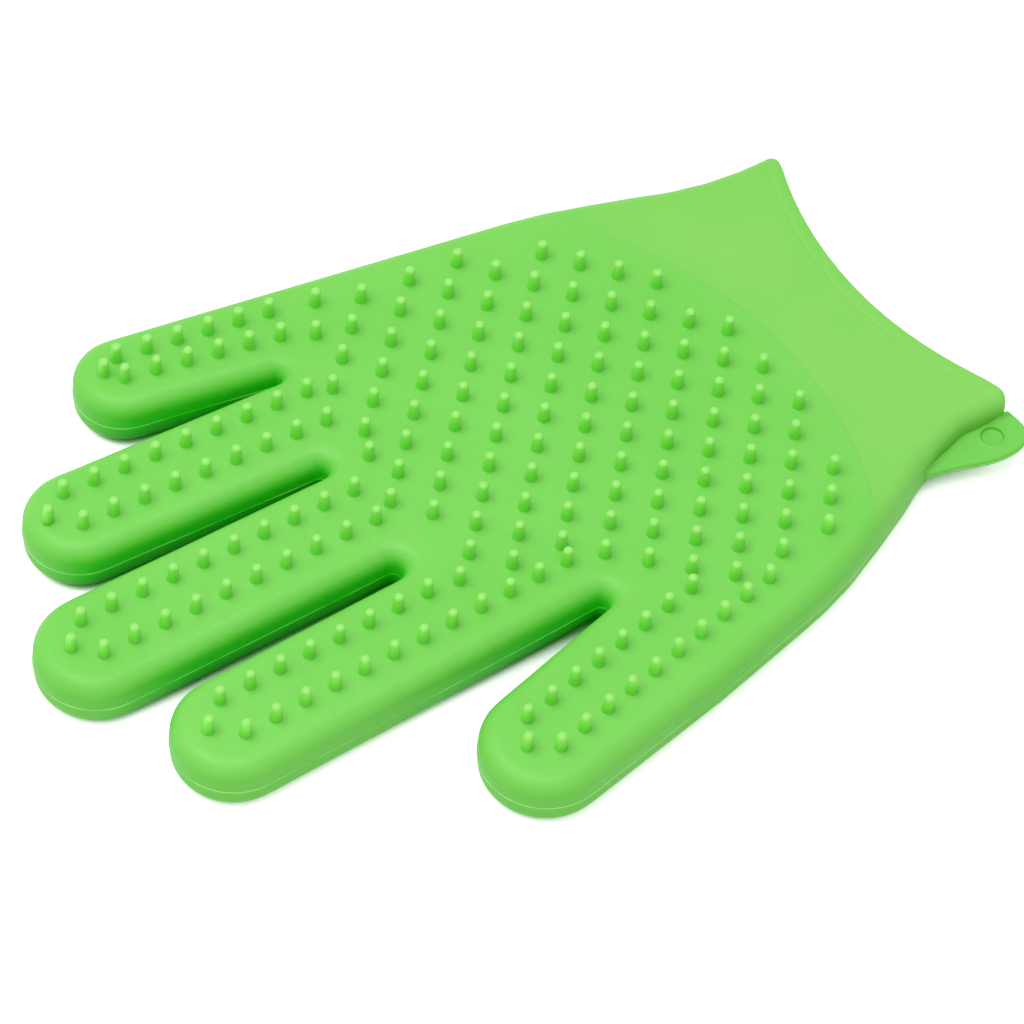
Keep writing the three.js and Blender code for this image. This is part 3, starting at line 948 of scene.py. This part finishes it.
def add_tab(material, outline):
    """Leaf-shaped tab with soft edges and a moulded eye, rooted in the cuff's side."""
    (_, _, low_z), (_, _, high_z) = np.array(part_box("hang_tab")) / MM
    hinge, _, out = tab_frame()
    eye, eye_r, eye_z = read_eye(low_z, high_z)
    loop = tab_loop(low_z, high_z, outline)
    tangent = unit(np.roll(loop, -1, axis=0) - np.roll(loop, 1, axis=0))
    inward = np.column_stack([-tangent[:, 1], tangent[:, 0]])
    insets = tab_insets(loop, inward, outline)[:, None] * inward
    radius = TAB["edge_r"]
    quarter = [math.pi / 2 * k / TAB_MESH["edge_steps"] for k in range(TAB_MESH["edge_steps"] + 1)]
    profile = [(1 - math.sin(a), high_z - radius * (1 - math.cos(a))) for a in quarter]
    profile += [(1 - math.sin(a), low_z + radius * (1 - math.cos(a))) for a in quarter[::-1]]
    skin = Skin()
    index = [skin.add_points(np.column_stack([loop + share * insets, np.full(len(loop), z)]))
             for share, z in profile]
    for upper, lower in zip(index[:-1], index[1:]):
        skin.add_strip([*upper, upper[0]], [*lower, lower[0]], loop)
    foot = add_tab_face(skin, index[0], loop + insets, True, high_z, eye, eye_r, outline)
    depth, flat = (eye_z - high_z) * EYE_DEEPER, 0.6
    rings = [(eye_r + past, up) for past, up in EYE_LIP]
    rings += [(eye_r + past, depth + up) for past, up in EYE_FLOOR]
    rings += [(flat * eye_r, depth), (0.0, depth)]
    add_loft(skin, foot, eye, high_z, rings, np.zeros(2))
    add_tab_face(skin, index[-1], loop + insets, False, low_z, eye, eye_r, outline)
    tab = object_of("hang_tab_loop", mesh_of("hang_tab_loop", skin.points(), skin.faces), material)
    start, end = TAB["bend"]
    blend_between(tab, "cuff", "hang_tab", hinge + start * out, hinge + end * out)
    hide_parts("hang_tab")


# ---- silicone ----
# Colours of the silicone: the nubs' colours are painted light, the parting line's pale colour a painted
# highlight, and the greens between digits a painted glow and a painted shade.
SILICONE = {"palm": (0.170, 0.546, 0.082), "cuff": (0.196, 0.542, 0.090), "deep": (0.122, 0.495, 0.050),
            "tab": (0.148, 0.518, 0.070), "nub_foot": (0.140, 0.670, 0.044), "nub": (0.260, 0.780, 0.095),
            "nub_tip": (0.262, 0.640, 0.135), "flash_highlight": (0.36, 0.74, 0.26), "painted_glow": (0.017, 0.66, 0.005),
            "shade": (0.008, 0.22, 0.003), "dust": (0.45, 0.62, 0.38)}
SIDE_PAINTED_SHADE = (0.74, 0.93, 0.52)  # painted shade: the side walls are darker than the panels where the surface faces sideways
SUBSURFACE = {"weight": 0.35, "radius": (0.45, 1.0, 0.2), "scale": 0.0016}
GRAIN = {"scale": 1500.0, "strength": 0.25, "distance": 0.00008}
NOISE = {"cloud": 22.0, "flash_highlight": 55.0, "rough": 160.0, "dust": 620.0}  # scales of the tone changes
FLASH_HIGHLIGHT_HALF = (0.00012, 0.00022)  # metres from the parting line: full painted highlight, and none
CUFF_TONE = (14.0, 24.0)  # mm past the wrist hinge: full cuff colour, and none


class Nodes:
    """Short way to add and link shader nodes."""

    def __init__(self, tree):
        self.tree = tree

    def add(self, kind, inputs=None, **settings):
        node = self.tree.nodes.new("ShaderNode" + kind)
        for key, value in settings.items():
            setattr(node, key, value)
        for key, value in (inputs or {}).items():
            if isinstance(value, bpy.types.NodeSocket):
                self.tree.links.new(value, node.inputs[key])
            else:
                node.inputs[key].default_value = value
        return node

    def noise(self, vector, scale, detail=3.0):
        node = self.add("TexNoise", {"Vector": vector, "Scale": scale, "Detail": detail})
        return node.outputs["Fac"]

    def remap(self, value, low, high, to_low=0.0, to_high=1.0):
        node = self.add("MapRange", {"Value": value, "From Min": low, "From Max": high,
                                               "To Min": to_low, "To Max": to_high})
        return node.outputs["Result"]

    def math(self, operation, *values):
        return self.add("Math", dict(enumerate(values)), operation=operation).outputs[0]

    def part(self, vector, axis):
        return self.add("SeparateXYZ", {"Vector": vector}).outputs[axis]

    def surface(self, inputs):
        shader = self.add("BsdfPrincipled", inputs)
        self.add("OutputMaterial", {"Surface": shader.outputs["BSDF"]})

    def attribute(self, name):
        return self.add("Attribute", attribute_name=name).outputs["Fac"]

    def mix(self, share, a, b, blend="MIX"):
        node = self.add("Mix", {"Factor": share}, data_type="RGBA", blend_type=blend)
        for key, value in (("A", a), ("B", b)):
            socket = next(s for s in node.inputs if s.name == key and s.type == "RGBA")
            if isinstance(value, bpy.types.NodeSocket):
                self.tree.links.new(value, socket)
            else:
                socket.default_value = (*value, 1.0)
        return next(s for s in node.outputs if s.type == "RGBA")


def past_palm_step(nodes, place):
    """1 on the cuff and 0 on the palm, changing at the step between them."""
    flat = nodes.add("VectorMath", {0: place, 1: (1, 1, 0)}, operation="MULTIPLY").outputs[0]
    centre = [PALM_STEP["centre"][0] * MM, PALM_STEP["centre"][1] * MM, 0]
    apart = nodes.add("VectorMath", {0: flat, 1: centre}, operation="DISTANCE").outputs["Value"]
    half = PALM_STEP["half"]
    past = nodes.remap(apart, (PALM_STEP["radius"] - half) * MM, (PALM_STEP["radius"] + half) * MM)
    along = nodes.part(place, "Y")
    full, gone = CUFF_TONE
    low = nodes.remap(along, (WRIST_Y + gone) * MM, (WRIST_Y + full) * MM)
    return nodes.math("MULTIPLY", past, low)


def panel_tone_and_side_shade(nodes, place, base, cuff_base):
    """Base colour of the palm and the cuff, cloudy, with painted shade where the surface turns to the side.
    """
    colour = nodes.mix(past_palm_step(nodes, place), base, cuff_base)
    cloudy = nodes.remap(nodes.noise(place, NOISE["cloud"]), 0.35, 0.65, 0.0, 0.35)
    colour = nodes.mix(cloudy, colour, SILICONE["deep"])
    upright = nodes.math("ABSOLUTE", nodes.part(nodes.add("TexCoord").outputs["Normal"], "Z"))
    return nodes.mix(nodes.remap(upright, 0.15, 0.75, 1.0, 0.0), colour, SIDE_PAINTED_SHADE, "MULTIPLY")


def painted_gap_glow_and_shade(nodes, colour, up, closed_in):
    """Painted light and shade between two digits: a bright green painted glow, turning to painted shade
    below the parting line.
    """
    under = nodes.remap(up, (PARTING_Z - 0.4) * MM, 0.002)
    return nodes.mix(closed_in, colour, nodes.mix(under, SILICONE["painted_glow"], SILICONE["shade"]))


def nub_tone(nodes, colour):
    """Painted light on the nubs: brightened at the foot against its shade, lighter up the shaft towards the
    lit top, with a paler painted highlight on the tip.
    """
    rise = nodes.attribute("rise")
    shoulder, tip = NUB_HEIGHT - 1.4, NUB_HEIGHT - 0.3
    up_shaft = nodes.remap(rise, 0.5, shoulder)
    shaft = nodes.mix(up_shaft, SILICONE["nub_foot"], SILICONE["nub"])
    colour = nodes.mix(nodes.remap(rise, 0.02, 0.4), colour, shaft)
    return nodes.mix(nodes.remap(rise, shoulder, tip), colour, SILICONE["nub_tip"])


def painted_flash_highlight(nodes, colour, place, up):
    """Painted highlight: a pale broken line along the moulding flash on the parting line."""
    apart = nodes.math("ABSOLUTE", nodes.math("SUBTRACT", up, PARTING_Z * MM))
    on_line = nodes.remap(apart, *FLASH_HIGHLIGHT_HALF, 1.0, 0.0)
    broken = nodes.remap(nodes.noise(place, NOISE["flash_highlight"]), 0.42, 0.55, 0.15, 1.0)
    return nodes.mix(nodes.math("MULTIPLY", on_line, broken), colour, SILICONE["flash_highlight"])


def new_material(name):
    """A material with an empty node tree, and the helper that fills it."""
    material = bpy.data.materials.new(name)
    material.use_nodes = True
    material.node_tree.nodes.clear()
    return material, Nodes(material.node_tree)


def silicone(name, base, cuff_base):
    """Satin moulded silicone: soft tone changes, a fine grain, painted glow and shade between digits,
    painted shade on the side walls, painted light on the nubs, a painted highlight on the parting line and
    a few specks of dust.
    """
    material, nodes = new_material(name)
    place = nodes.add("TexCoord").outputs["Object"]
    up = nodes.part(place, "Z")
    closed_in = nodes.attribute("hollow")
    colour = panel_tone_and_side_shade(nodes, place, base, cuff_base)
    colour = painted_gap_glow_and_shade(nodes, colour, up, closed_in)
    colour = painted_flash_highlight(nodes, nub_tone(nodes, colour), place, up)
    dusty = nodes.remap(nodes.noise(place, NOISE["dust"], 1.0), 0.80, 0.86, 0.0, 0.35)
    colour = nodes.mix(dusty, colour, SILICONE["dust"])
    rough = nodes.remap(nodes.noise(place, NOISE["rough"]), 0.3, 0.7, 0.40, 0.50)
    shine = nodes.remap(closed_in, 0.0, 1.0, 0.32, 0.05)
    grain = nodes.add("Bump", {
        "Height": nodes.noise(place, GRAIN["scale"]), "Strength": GRAIN["strength"],
        "Distance": GRAIN["distance"]}).outputs["Normal"]
    nodes.surface({
        "Base Color": colour, "Roughness": rough, "Normal": grain, "Specular IOR Level": shine,
        "Subsurface Weight": SUBSURFACE["weight"], "Subsurface Radius": SUBSURFACE["radius"],
        "Subsurface Scale": SUBSURFACE["scale"]})
    return material


# ---- room: floor, light and camera ----
CAMERA = {"target": (-20.16, 108.89, 16.2), "place": (-733.4, 575.5, 1135.0), "roll": 3.0, "lens": 189.84,
          "sensor": 36.0, "clip_start": 0.1}
FLOOR = {"half": 4.0, "below": 0.0003, "open": (0.93, 0.94, 0.93), "lift": 0.5,
         "between": (0.03, 0.34, 0.01), "painted_glow": (0.004, 0.10, 0.001)}  # painted green shade and a painted green glow where digits close it in
SKY = {"distance": 0.05, "samples": 16, "closed": 0.13, "open": 0.31}  # how open the floor is to the sky
WORLD_STRENGTH = 0.70
OVERHEAD = {"place": (0.1, 0.5, 1.7), "size": 1.6, "power": 25.0, "aim": (0, 0.1, 0)}


def floor_paint():
    """Matt white, lifted for the camera alone, as on an overexposed product table, with painted green shade
    and a faint painted green glow between digits that stand close together."""
    material, nodes = new_material("floor_paint")
    seen = nodes.add("LightPath").outputs["Is Camera Ray"]
    sky = nodes.add("AmbientOcclusion", {"Distance": SKY["distance"]}, samples=SKY["samples"])
    is_open = nodes.remap(sky.outputs["AO"], SKY["closed"], SKY["open"])
    nodes.surface({
        "Base Color": nodes.mix(is_open, FLOOR["between"], FLOOR["open"]), "Roughness": 0.9,
        "Specular IOR Level": 0.1, "Emission Color": nodes.mix(is_open, FLOOR["painted_glow"], (1.0, 1.0, 1.0)),
        "Emission Strength": nodes.remap(seen, 0.0, 1.0, 0.0, FLOOR["lift"])})
    return material


def add_floor():
    """Large plain sheet just under the glove."""
    mesh = bpy.data.meshes.new("floor")
    half = FLOOR["half"]
    mesh.from_pydata([(-half, -half, 0), (half, -half, 0), (half, half, 0), (-half, half, 0)], [],
                     [(0, 1, 2, 3)])
    floor = object_of("floor", mesh, floor_paint())
    floor.location.z = -FLOOR["below"]


def add_lights():
    """An even white studio with one large soft lamp overhead."""
    world = bpy.data.worlds.new("studio")
    bpy.context.scene.world = world
    world.use_nodes = True
    background = world.node_tree.nodes["Background"]
    background.inputs["Color"].default_value = (1, 1, 1, 1)
    background.inputs["Strength"].default_value = WORLD_STRENGTH
    lamp = bpy.data.lights.new("overhead", "AREA")
    lamp.shape = "DISK"
    lamp.size = OVERHEAD["size"]
    lamp.energy = OVERHEAD["power"]
    made = linked("overhead", lamp)
    made.location = OVERHEAD["place"]
    towards = Vector(OVERHEAD["aim"]) - Vector(OVERHEAD["place"])
    made.rotation_euler = towards.to_track_quat("-Z", "Y").to_euler()


def add_camera():
    camera = linked("camera", bpy.data.cameras.new("camera"))
    place, target = Vector(CAMERA["place"]) * MM, Vector(CAMERA["target"]) * MM
    camera.location = place
    facing = (target - place).to_track_quat("-Z", "Y")
    roll = Quaternion((0, 0, 1), math.radians(CAMERA["roll"]))
    camera.rotation_mode = "QUATERNION"
    camera.rotation_quaternion = facing @ roll
    camera.data.sensor_width = CAMERA["sensor"]
    camera.data.lens = CAMERA["lens"]
    camera.data.clip_start = CAMERA["clip_start"]
    bpy.context.scene.camera = camera


# ---- scene ----
def glove_outline(corners, normals, tree, wrist_y, corner):
    """The outline with its two ends cut at the wrist edge and led straight past it."""
    points = flared(real_corners(read_outline(corners, normals, tree)), corner)
    above, run_on = 1.5, 14.0
    kept = points[points[:, 1] > np.minimum(wrist_y(points[:, 0]) + above, 0)]
    ends = []
    for end, inner in ((kept[0], kept[1]), (kept[-1], kept[-2])):
        ends.append(end + run_on * unit(end - inner))
    return Outline(np.vstack([ends[0], kept, ends[1]]))


def build_glove():
    corners, normals = node_triangles(front_nodes())
    tree = tree_of(corners)
    wrist_y, corner = read_wrist(tree)
    nubs = read_nubs(corners) - NUB_LEAN * NUB_HEIGHT
    outline = glove_outline(corners, normals, tree, wrist_y, corner)
    reach, samples = 30.0, 1200
    fine = np.linspace(0, reach, samples)
    start = wrist_crossing(outline, fine, 0.0, wrist_y)
    end = wrist_crossing(outline, outline.s[-1] - fine, 0.0, wrist_y)
    s = outline.spaced(start, end)
    skin = Skin()
    outer = add_shell(skin, outline, s, wrist_y, nubs, False)
    inner = add_shell(skin, outline, s, wrist_y, nubs, True)
    add_rim(skin, outer, inner)
    digits = read_digits()
    material = silicone("silicone_skin", SILICONE["palm"], SILICONE["cuff"])
    made = split_skin(skin, digits, material)
    rig_pieces(made, digits)
    add_tab(silicone("silicone_tab", SILICONE["tab"], SILICONE["tab"]), outline)


build_glove()
add_floor()
add_lights()
add_camera()
bpy.context.scene.view_settings.view_transform = "Standard"
